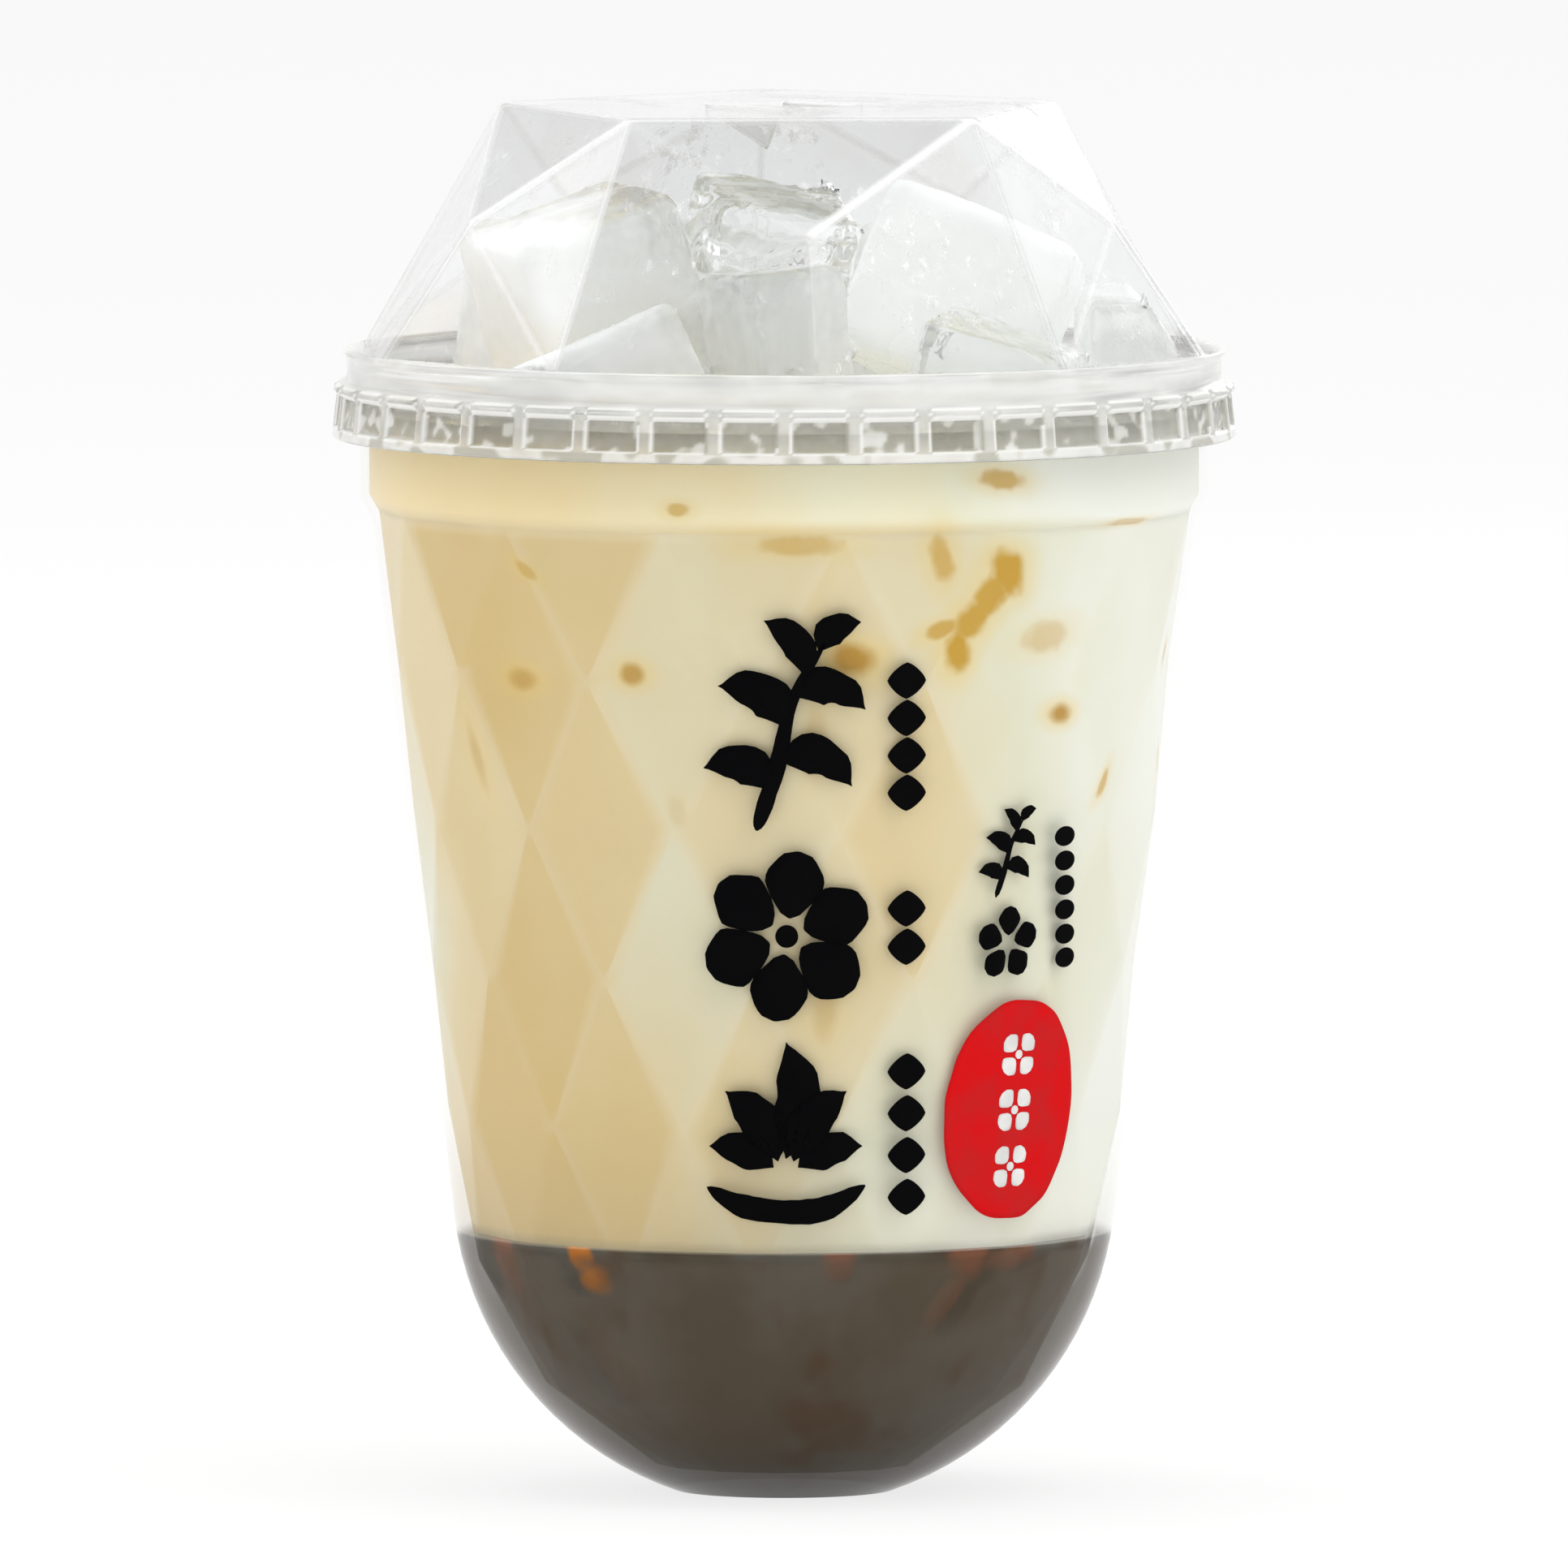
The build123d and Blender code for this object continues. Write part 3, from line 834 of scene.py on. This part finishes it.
def buildRing():
    shape = skirtShape
    top = lidShape["ringTop"]
    columns = shape["panels"] * shape["columnsEach"]
    ring, lip, seat = shape["ring"], shape["lip"], shape["seat"]
    inside, outside, edge = shape["inside"], shape["outside"], shape["edge"]
    edgeInside, edgeOutside = shape["edgeInside"], shape["edgeOutside"]
    outerRows = [(edgeOutside + (outside - edgeOutside) * k / 30, edge + (121.2 - edge) * k / 30) for k in range(31)]
    profile = [(edgeInside, edge + 0.15), (edgeInside + 0.2, edge), (edgeOutside - 0.2, edge)] + outerRows[1:]
    profile += [(outside - 0.25, 121.45), (ring + 0.25, 121.55), (ring, 121.8), (ring, 122.9), (ring, 123.9),
                (ring + 0.1, 124.15), (lip - 0.05, 124.4), (lip, 124.6), (lip, 124.85), (lip - 0.12, top),
                "plateTop", "plateUnder"]
    profile += [(ring - 0.6, top - 0.7), (ring - 0.6, 123.0), (ring - 0.6, 121.4), (ring - 0.8, 121.2),
                (seat + 0.1, 121.2), (seat, 121.1), (seat, 120.7), (seat + 0.1, 120.62), (inside - 0.2, 120.62), (inside, 120.4),
                (inside + 0.2, 118.8), (inside + 0.42, 117.0)]
    points, faces, frosts, tonesWithPaintedLight = [], [], [], []
    for column in range(columns):
        azimuth = 360 * column / columns
        unit = 360 / shape["panels"]
        off = (azimuth % unit - unit / 2) / unit * 2 * pi * 49 / shape["panels"]    # mm from the panel's middle
        foot = decagonRadius(azimuth)
        for row in profile:
            if row in ("plateTop", "plateUnder"):
                radius, height = min(foot - 0.35, 47.0), top - 0.6 * (row == "plateUnder")
            else:
                radius, height = row
            if (radius, height) in outerRows[1:]:
                hollow = ramp(shape["panelWidth"] / 2 - abs(off), -0.12, 0.35)
                hollow *= ramp(shape["panelHeight"] / 2 - abs(height - shape["panelMiddle"]), -0.12, 0.35)
                reach = max(0, abs(off) - (shape["lugLength"] - shape["lugHeight"]) / 2)
                away = sqrt(reach ** 2 + (height - shape["lugMiddle"]) ** 2)
                lug = ramp(shape["lugHeight"] / 2 + 0.12 - away, 0, 0.4)
                radius += shape["lugDepth"] * lug - shape["panelDepth"] * hollow
                radius += 0.05 * softNoise(at(azimuth, 49, height), 3.5)
                frost, shade = ringTone(azimuth, height, off, hollow, lug)
            elif row in ("plateTop", "plateUnder") or height < 121.3 or radius < ring - 0.1:
                frost, shade = 0.12, 0.9
            else:
                # painted reflections: the band between the skirt and the dome is milky white, with darker folds
                fold = softNoise(at(azimuth, 49, height * 5), 8, 31)
                frost, shade = 0.66 + 0.3 * fold, 0.99 - 0.16 * ramp(fold, 0.1, 0.5)
            frosts.append(max(0.0, min(1.0, frost)))
            tonesWithPaintedLight.append(shade)
            points.append(at(azimuth, radius, height))
    size = len(profile)
    for column in range(columns):
        beside = (column + 1) % columns
        for row in range(size):
            after = (row + 1) % size
            faces.append((column * size + row, beside * size + row, beside * size + after, column * size + after))
    piece = newPiece("lidRing", points, faces)
    # frost is how milky the ring is; the other attribute is its tone with painted highlights, painted shadows and
    # painted reflections
    store(piece, "frost", frosts)
    store(piece, "shade", tonesWithPaintedLight)
    weld(piece, 0.0005)
    return piece


def ringTone(azimuth, height, off, hollow, lug):
    # how milky the skirt is at a point, and how light it looks there: painted highlights on the edges of the panels and
    # lugs, a painted shadow on the right edges of some panels, painted reflections in the folds below the panels, and
    # darker panels, darkest at their tops
    shape = skirtShape
    spot = at(azimuth, 49, height)
    cloud, fine = softNoise(spot, 6.5, 12), softNoise(spot, 1.7, 17)
    frost, shade = 0.5 + 0.3 * cloud, 0.84
    if hollow > 0.5:
        base = 0.44 + 0.08 * sin(azimuth // 9 * 2.3) + 0.44 * ramp(fine + 0.6 * cloud, 0.22, 0.45)
        frost, shade = 0.66 + 0.28 * fine, base - 0.1 * ramp(height, 117.5, 119.8)
    # painted reflections: light and dark folds in the strip under the panels
    if height < shape["panelMiddle"] - shape["panelHeight"] / 2 - 0.1:
        fold = softNoise(spot, 3.2, 40)
        frost, shade = 0.72 + 0.2 * fold, 0.97 - 0.4 * ramp(fold, 0.05, 0.3)
    # painted highlights on the slopes round the panels and lugs; where darker is 0.5, a painted shadow on a panel's
    # right slope
    rim = max(4 * hollow * (1 - hollow), 4 * lug * (1 - lug))
    darker = 0.5 if hollow > 0.02 and cloud > 0 and off > shape["panelWidth"] / 2 - 0.25 else 1.0
    if rim > 0.45:
        frost, shade = 0.9, 0.98 * darker
    return frost, shade


lidLook = {
    "tint": (0.951, 0.953, 0.955),
    "straight": 0.045,  # share of light reflected by a face seen straight on
    "grazing": 0.75,
    "fall": 3.5,
    "rough": 0.07,
    # fold: strength of the painted highlight along the folds; frost: how white the crinkled patches turn
    "fold": 0.85,
    "frost": 0.50,
}


def lidMaterial(name, tint, bumpStrength):
    look = lidLook
    finish = Finish(name)
    spot = finish.place()
    scratch = finish.grain(spot, 1.3, 3, 0.6, stretch=(1, 1, 0.6))
    where = finish.ease(finish.grain(spot, 12, 2), 0.49, 0.64)
    bent = finish.bump(scratch * where, bumpStrength, 0.35)
    clear = finish.add("BsdfTransparent", None, {"Color": tint})
    shine = finish.plastic(Base_Color=(1, 1, 1), Metallic=1.0, Roughness=look["rough"], Normal=bent)
    facing = finish.add("LayerWeight", None, {"Blend": 0.5, "Normal": bent}, out="Facing")
    edge = look["straight"] + facing.use("POWER", look["fall"]) * (look["grazing"] - look["straight"])
    sheet = finish.add("MixShader", None, {0: edge, 1: clear, 2: shine})
    # the folded lines get a painted highlight in milky white, and the crinkled patches here and there are whiter too
    fold = finish.stored("fold") * look["fold"]
    frost = finish.ease(scratch, 0.56, 0.70) * where * look["frost"]
    milky = finish.plastic(Base_Color=(0.96, 0.96, 0.96), Roughness=0.4, Specular_IOR_Level=0.3)
    return finish.done(finish.add("MixShader", None, {0: fold.use("MAXIMUM", frost), 1: sheet, 2: milky}))


def ringMaterial():
    finish = Finish("ringPlastic")
    spot = finish.place()
    wave = finish.bump(finish.grain(spot, 2.2, 2), 0.35, 0.12)
    glass = finish.plastic(Base_Color=(0.965, 0.965, 0.955), Roughness=0.03, IOR=1.47, Transmission_Weight=1.0,
                           Normal=wave)
    # the milky share takes the ring's tone with its painted highlights, painted shadows and painted reflections
    frost, shade = (finish.stored(name) for name in ("frost", "shade"))
    tone = finish.ramp(shade, [(0.36, (0.34, 0.33, 0.28)), (0.65, (0.62, 0.61, 0.54)), (0.98, (0.96, 0.96, 0.94))])
    milky = finish.plastic(Base_Color=tone, Roughness=0.25, Specular_IOR_Level=0.5, Normal=wave)
    return finish.done(finish.add("MixShader", None, {0: frost, 1: glass, 2: milky}))


lidPlastic = lidMaterial("lidPlastic", lidLook["tint"], 0.55)
finished(buildDome(), lidPlastic, "lid_plastic", "lid")
finished(buildRing(), ringMaterial(), "lid_plastic")
print("lid ready")

# ice
iceShape = {
    "grain": 0.6,  # mm, size of the mesh
    "rounds": 16,  # of smoothing
    "pits": 0.12,
    "glow": 0.04,  # painted glow: emission in place of light scattered inside the ice
    "paintedGlowColour": (0.96, 1.0, 0.99),
    "gap": 1.1,  # mm clear of the dome
    "reach": 43.9,  # mm from the axis below the dome
}
iceLook = {
    # how frosted each cube is, how much light passes it, how deep it has melted in mm, how white its heart is,
    # where that lies, its swirls, and how far it has settled, in degrees about x, y, z
    "ice_left": (0.10, 0.92, 0.9, 0.95, (-5, -5, -4), 0.15, (4, -12, 10)),
    "ice_right": (0.8, 0.50, 0.8, 0.7, (0, 0, 0), 0.0, (-4, 9, 0)),
    "ice_middle": (0.03, 0.94, 1.1, 0.1, (0, 0, 0), 1.0, (0, 8, -12)),
    "ice_small": (0.05, 0.92, 1.1, 0.5, (0, 0, 0), 0.5, (6, -12, 12)),
    "ice_slab": (0.5, 0.75, 0.8, 0.95, (-4, 0, 2), 0.1, (0, -9, 0)),
    "ice_grey": (0.25, 0.85, 0.9, 0.1, (0, 0, 0), 0.2, (0, 9, 6)),
    "ice_far_right": (0.4, 0.7, 0.9, 0.6, (0, 0, 0), 0.2, (0, -7, 0)),
    "ice_far_left": (0.3, 0.75, 0.9, 0.5, (0, 0, 0), 0.2, (6, 0, 0)),
    "ice_back_right": (0.4, 0.65, 0.9, 0.6, (0, 0, 0), 0.2, (0, 6, 8)),
    "ice_back": (0.4, 0.65, 0.9, 0.6, (0, 0, 0), 0.2, (0, 7, 0)),
    "ice_front": (0.15, 0.85, 0.9, 0.7, (0, 0, 0), 0.6, (0, 7, 0)),
}


def iceMaterial(name, frost, clear, white, heart, size, swirl):
    finish = Finish(name)
    spot = finish.place()
    cloud = finish.grain(spot, 9, 3)
    rough = 0.03 + finish.ease(cloud, 0.6 - frost * 0.4, 0.8 - frost * 0.4) * (0.12 + 0.35 * frost)
    ripple = finish.grain(spot, 3.5, 2)
    if swirl > 0.5:
        ripple = finish.add("TexWave", {"wave_type": "RINGS", "rings_direction": "SPHERICAL"},
                            {"Vector": spot, "Scale": 0.07, "Distortion": 7.0, "Detail": 1.0, "Detail Scale": 0.9})
    wave = finish.bump(ripple, 0.25 + 0.5 * swirl, 0.4 + 0.5 * swirl)
    # painted glow: every cube emits a little light, its white heart more, and more the more frosted the cube is
    glow, shine = iceShape["paintedGlowColour"], iceShape["glow"]
    clearIce = finish.plastic(Base_Color=(0.985, 0.99, 0.99), Roughness=rough, IOR=1.36, Transmission_Weight=clear,
                              Normal=wave, Emission_Color=glow, Emission_Strength=shine)
    away = finish.add("VectorMath", {"operation": "DISTANCE"}, {0: spot, 1: heart}, out="Value") + (cloud - 0.5) * 16
    mist = finish.ease(away, size * 1.35, size * 0.75, 0, white)
    whiteIce = finish.plastic(Base_Color=(0.95, 0.96, 0.95), Roughness=0.25, IOR=1.31,
                              Emission_Color=glow, Emission_Strength=shine * (1.6 + 4 * frost))
    return finish.done(finish.add("MixShader", None, {0: mist, 1: clearIce, 2: whiteIce}))


def inLid(point):
    # keeps a point of the ice clear of the dome, the lid's seat and the cup
    for corner, normal in iceWalls:
        over = (point - corner).dot(normal) + iceShape["gap"]
        if over > 0:
            point = point - normal * over
    across = Vector((point.x, point.y, 0))
    if point.z < lidShape["ringTop"] and across.length > iceShape["reach"]:
        point = across.normalized() * iceShape["reach"] + Vector((0, 0, point.z))
    return point


iceCorners = domeCorners()
iceWalls = [(iceCorners[names[0]], outward(*(iceCorners[name] for name in names))) for names in domeFacets()]
iceWalls.append((iceCorners["top0"], Vector((0, 0, 1))))


def buildIce(node, frost, clear, melt, white, heart, swirl, settled):
    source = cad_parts[node]
    cube = bpy.data.objects.new(node.replace("ice_", "iceCube."), source.data.copy())
    scene.collection.objects.link(cube)
    weld(cube, 0.01)
    centre = sum((vertex.co for vertex in cube.data.vertices), Vector()) / len(cube.data.vertices)
    turned = Euler([radians(angle) for angle in settled]).to_matrix()
    for vertex in cube.data.vertices:
        vertex.co = centre + turned @ (vertex.co - centre)
    fine = cube.modifiers.new("fine", "REMESH")
    fine.mode = "VOXEL"
    fine.voxel_size = iceShape["grain"] * mm
    soft = cube.modifiers.new("soft", "SMOOTH")
    soft.iterations = iceShape["rounds"]
    applied(cube)
    spots = [vertex.co / mm for vertex in cube.data.vertices]
    for vertex, spot in zip(cube.data.vertices, spots):
        wave = softNoise(spot, 7.0, 4) * melt * 0.6 + softNoise(spot, 2.4, 9) * iceShape["pits"]
        vertex.co = inLid(spot - vertex.normal * (0.5 * melt + wave)) * mm
    cube.data.shade_smooth()
    low, high = (Vector([pick(spot[axis] for spot in spots) for axis in range(3)]) for pick in (min, max))
    middle = (low + high) / 2 + Vector(heart)
    finished(cube, iceMaterial(cube.name, frost, clear, white, middle, (high - low).length / 3.2, swirl), "ice", node)


for node, look in iceLook.items():
    buildIce(node, *look)
print("ice ready")

# print on the cup
printShape = {
    "lift": 0.06,  # mm off the wall
    "layer": 0.002,
    "skin": 0.04,
    "step": 0.7,
    # places are mm across from the front's middle line, and height
    "bigAt": [(0.0, 86.6), (0.3, 63.6), (0.2, 42.4)],
    "bars": {"across": 13.3, "size": (2.2, 2.0), "heights": [91.5, 87.4, 83.3, 79.2, 66.5, 62.3, 48.6, 44.0, 39.4, 34.8]},
    "dots": {"across": 30.5, "size": (1.6, 1.1), "heights": [73.6, 70.9, 68.2, 65.5, 62.8, 60.2]},
    "smallAt": [(24.3, 72.1), (24.3, 62.2)],
    "seal": {"across": 25.0, "height": 43.9, "size": (9.3, 12.0)},
    "sealMarks": [49.9, 43.8, 37.6],
}


def turnAt(across, height):
    # the azimuth on the wall that shows a point this far across from the front
    return degrees(asin(across / wallRadius(height)))


class Print:
    # flat marks drawn in mm across and up, then laid on the cup's wall
    def __init__(self):
        self.points, self.faces, self.layers = [], [], 0

    def put(self, azimuth, across, height, lift):
        wall = wallRadius(height)
        self.points.append(at(azimuth + degrees(across / wall), wall + lift, height))

    def lifted(self):
        # each mark lies a hair over the one before
        self.layers += 1
        return printShape["lift"] + printShape["layer"] * ((self.layers - 1) % 6)

    def grid(self, azimuth, height, rows):
        # rows of points across and up from a middle; every row has the same length
        start, width = len(self.points), len(rows[0])
        lift = self.lifted()
        for row in rows:
            for across, up in row:
                self.put(azimuth, across, height + up, lift)
        for i in range(len(rows) - 1):
            for j in range(width - 1):
                a = start + i * width + j
                self.faces.append((a, a + 1, a + 1 + width, a + width))

    def stroke(self, azimuth, height, path, widths):
        # a brush stroke along a smooth path, with its own width at each point
        spans = len(path) - 1
        length = sum((Vector(b) - Vector(a)).length for a, b in zip(path, path[1:]))
        count = max(8, round(length / printShape["step"]))
        line, wide = [], []
        for i in range(count + 1):
            t = i / count * spans
            k = min(int(t), spans - 1)
            f = t - k
            a, b, c, d = (Vector(path[min(max(n, 0), spans)]) for n in (k - 1, k, k + 1, k + 2))
            bow = (2 * a - 5 * b + 4 * c - d) * f ** 2 + (3 * b - a - 3 * c + d) * f ** 3
            line.append(0.5 * (2 * b + (c - a) * f + bow))
            wide.append(widths[k] + (widths[k + 1] - widths[k]) * (f * f * (3 - 2 * f)))
        rows = []
        for i, point in enumerate(line):
            run = (line[min(i + 1, count)] - line[max(i - 1, 0)]).normalized()
            sideways = Vector((-run.y, run.x))
            end = min(i, count - i) / count
            half = wide[i] / 2 * min(1, sqrt(max(0.02, end * 9)))
            rough = 1 + 0.10 * softNoise((point.x, point.y, height), 1.6, azimuth)
            rows.append([tuple(point + sideways * half * rough * side) for side in (-1, -0.5, 0, 0.5, 1)])
        self.grid(azimuth, height, rows)

    def leaf(self, azimuth, height, root, tip, width, bend=0.15):
        root, tip = Vector(root), Vector(tip)
        run = tip - root
        sideways = Vector((-run.y, run.x)) * bend
        path = [root, root + run * 0.33 + sideways * 0.9, root + run * 0.68 + sideways * 0.8, tip]
        self.stroke(azimuth, height, path, [width * 0.12, width, width * 0.8, width * 0.05])

    def spot(self, azimuth, height, size, power=2.0, ragged=0.0, rings=4, around=40):
        # a filled oval, squarer or more pointed by its power
        start = len(self.points)
        lift = self.lifted()
        self.put(azimuth, 0, height, lift)
        for ring in range(1, rings + 1):
            for i in range(around):
                turn = 2 * pi * i / around
                c, s = cos(turn), sin(turn)
                reach = (abs(c) ** power + abs(s) ** power) ** (-1 / power) * ring / rings
                reach *= 1 + ragged * softNoise((c * 8, s * 8, height), 2.2, azimuth)
                self.put(azimuth, c * reach * size[0], height + s * reach * size[1], lift)
        for i in range(around):
            after = (i + 1) % around
            self.faces.append((start, start + 1 + i, start + 1 + after))
            for ring in range(rings - 1):
                a, b = start + 1 + ring * around, start + 1 + (ring + 1) * around
                self.faces.append((a + i, b + i, b + after, a + after))

    def blossom(self, azimuth, height, petals, inner, outer, width, turn=0.0, squash=1.0):
        for i in range(petals):
            angle = radians(turn + 360 / petals * i)
            way = Vector((sin(angle), cos(angle) * squash))
            path = [way * inner, way * (inner + (outer - inner) * 0.55), way * outer]
            self.stroke(azimuth, height, path, [width * 0.3, width, width * 0.45])

    def made(self, name, material, slot):
        piece = newPiece(name, self.points, self.faces)
        with reshaped(piece) as form:
            for face in form.faces:
                if face.normal.dot(fromAxis(face.calc_center_median())) < 0:
                    face.normal_flip()
        thick = piece.modifiers.new("skin", "SOLIDIFY")
        thick.thickness, thick.offset = printShape["skin"] * mm, -1
        applied(piece)
        return finished(piece, material, slot)


def inkMaterial(name, colour, wear):
    finish = Finish(name)
    spot = finish.place()
    speck = finish.grain(spot, 0.5, 2)
    tone = finish.blend(finish.ease(finish.grain(spot, 5, 3), 0.35, 0.7), colour, tuple(c * 0.82 + wear for c in colour))
    rough = 0.6 + speck * 0.2
    relief = finish.bump(speck, 0.1, 0.02)
    return finish.done(finish.plastic(Base_Color=tone, Roughness=rough, Specular_IOR_Level=0.02, Normal=relief))


sprigStem = [(-3.0, -11.4), (-0.8, -4.5), (1.0, 3.0), (4.6, 9.4)]
sprigLeaves = [
    ((-1.5, -7.0), (-8.8, -4.6), 4.4, -0.25), ((-0.6, -3.8), (7.4, -6.6), 4.6, 0.25),
    ((0.3, -0.2), (-7.2, 4.4), 4.8, -0.22), ((1.2, 3.2), (8.9, 1.8), 4.2, 0.25),
    ((2.2, 5.6), (-2.2, 11.6), 3.8, -0.2), ((3.8, 8.2), (8.4, 11.4), 3.4, 0.2),
]


def sprig(ink, azimuth, height, size):
    def sized(values):
        return tuple(v * size for v in values)

    ink.stroke(azimuth, height, [sized(point) for point in sprigStem], sized((1.7, 1.9, 1.3, 0.5)))
    for root, tip, width, bend in sprigLeaves:
        ink.leaf(azimuth, height, sized(root), sized(tip), width * size, bend)


black = Print()
across, height = printShape["bigAt"][0]
sprig(black, turnAt(across, height), height, 1.0)
across, height = printShape["bigAt"][1]
black.blossom(turnAt(across, height), height, 6, 2.0, 9.4, 6.6, 8)
black.spot(turnAt(across, height), height, (1.25, 1.25))
across, height = printShape["bigAt"][2]
azimuth = turnAt(across, height)
for angle, length, width in ((-72, 8.8, 4.2), (-37, 11.0, 5.0), (0, 14.2, 5.6), (37, 11.0, 5.0), (72, 8.8, 4.2)):
    way = Vector((sin(radians(angle)), cos(radians(angle))))
    heart = Vector((0, -4.6))
    black.leaf(azimuth, height, heart + way * 1.4, heart + way * length, width, 0.12 if angle > 0 else -0.12)
black.stroke(azimuth, height, [(-8.6, -6.4), (-4, -8.6), (3.5, -8.9), (8.7, -6.2)], [1.0, 2.6, 2.8, 1.0])
for key in ("bars", "dots"):
    row = printShape[key]
    for height in row["heights"]:
        black.spot(turnAt(row["across"], height), height, row["size"], 1.35 if key == "bars" else 2.0, around=32)
across, height = printShape["smallAt"][0]
sprig(black, turnAt(across, height), height, 0.42)
across, height = printShape["smallAt"][1]
black.blossom(turnAt(across, height), height, 5, 0.9, 4.1, 3.0, 0)
red = Print()
seal = printShape["seal"]
sealTurn = turnAt(seal["across"], seal["height"])
red.spot(sealTurn, seal["height"], seal["size"], 2.15, 0.025, rings=14, around=120)
pale = Print()
for height in printShape["sealMarks"]:
    pale.blossom(sealTurn, height, 4, 0.7, 2.7, 2.3, 45)
    pale.spot(sealTurn, height, (0.5, 0.5), around=16)
pale.points = [point + fromAxis(point) * 0.05 for point in pale.points]       # over the red
black.made("printBlack", inkMaterial("inkBlack", (0.0025, 0.0025, 0.003), 0.001), "print_black")
red.made("printRed", inkMaterial("inkRed", (0.680, 0.008, 0.010), 0.01), "print_red")
pale.made("printWhite", inkMaterial("inkWhite", (0.86, 0.85, 0.83), 0.0), "print_white")
print("print ready")
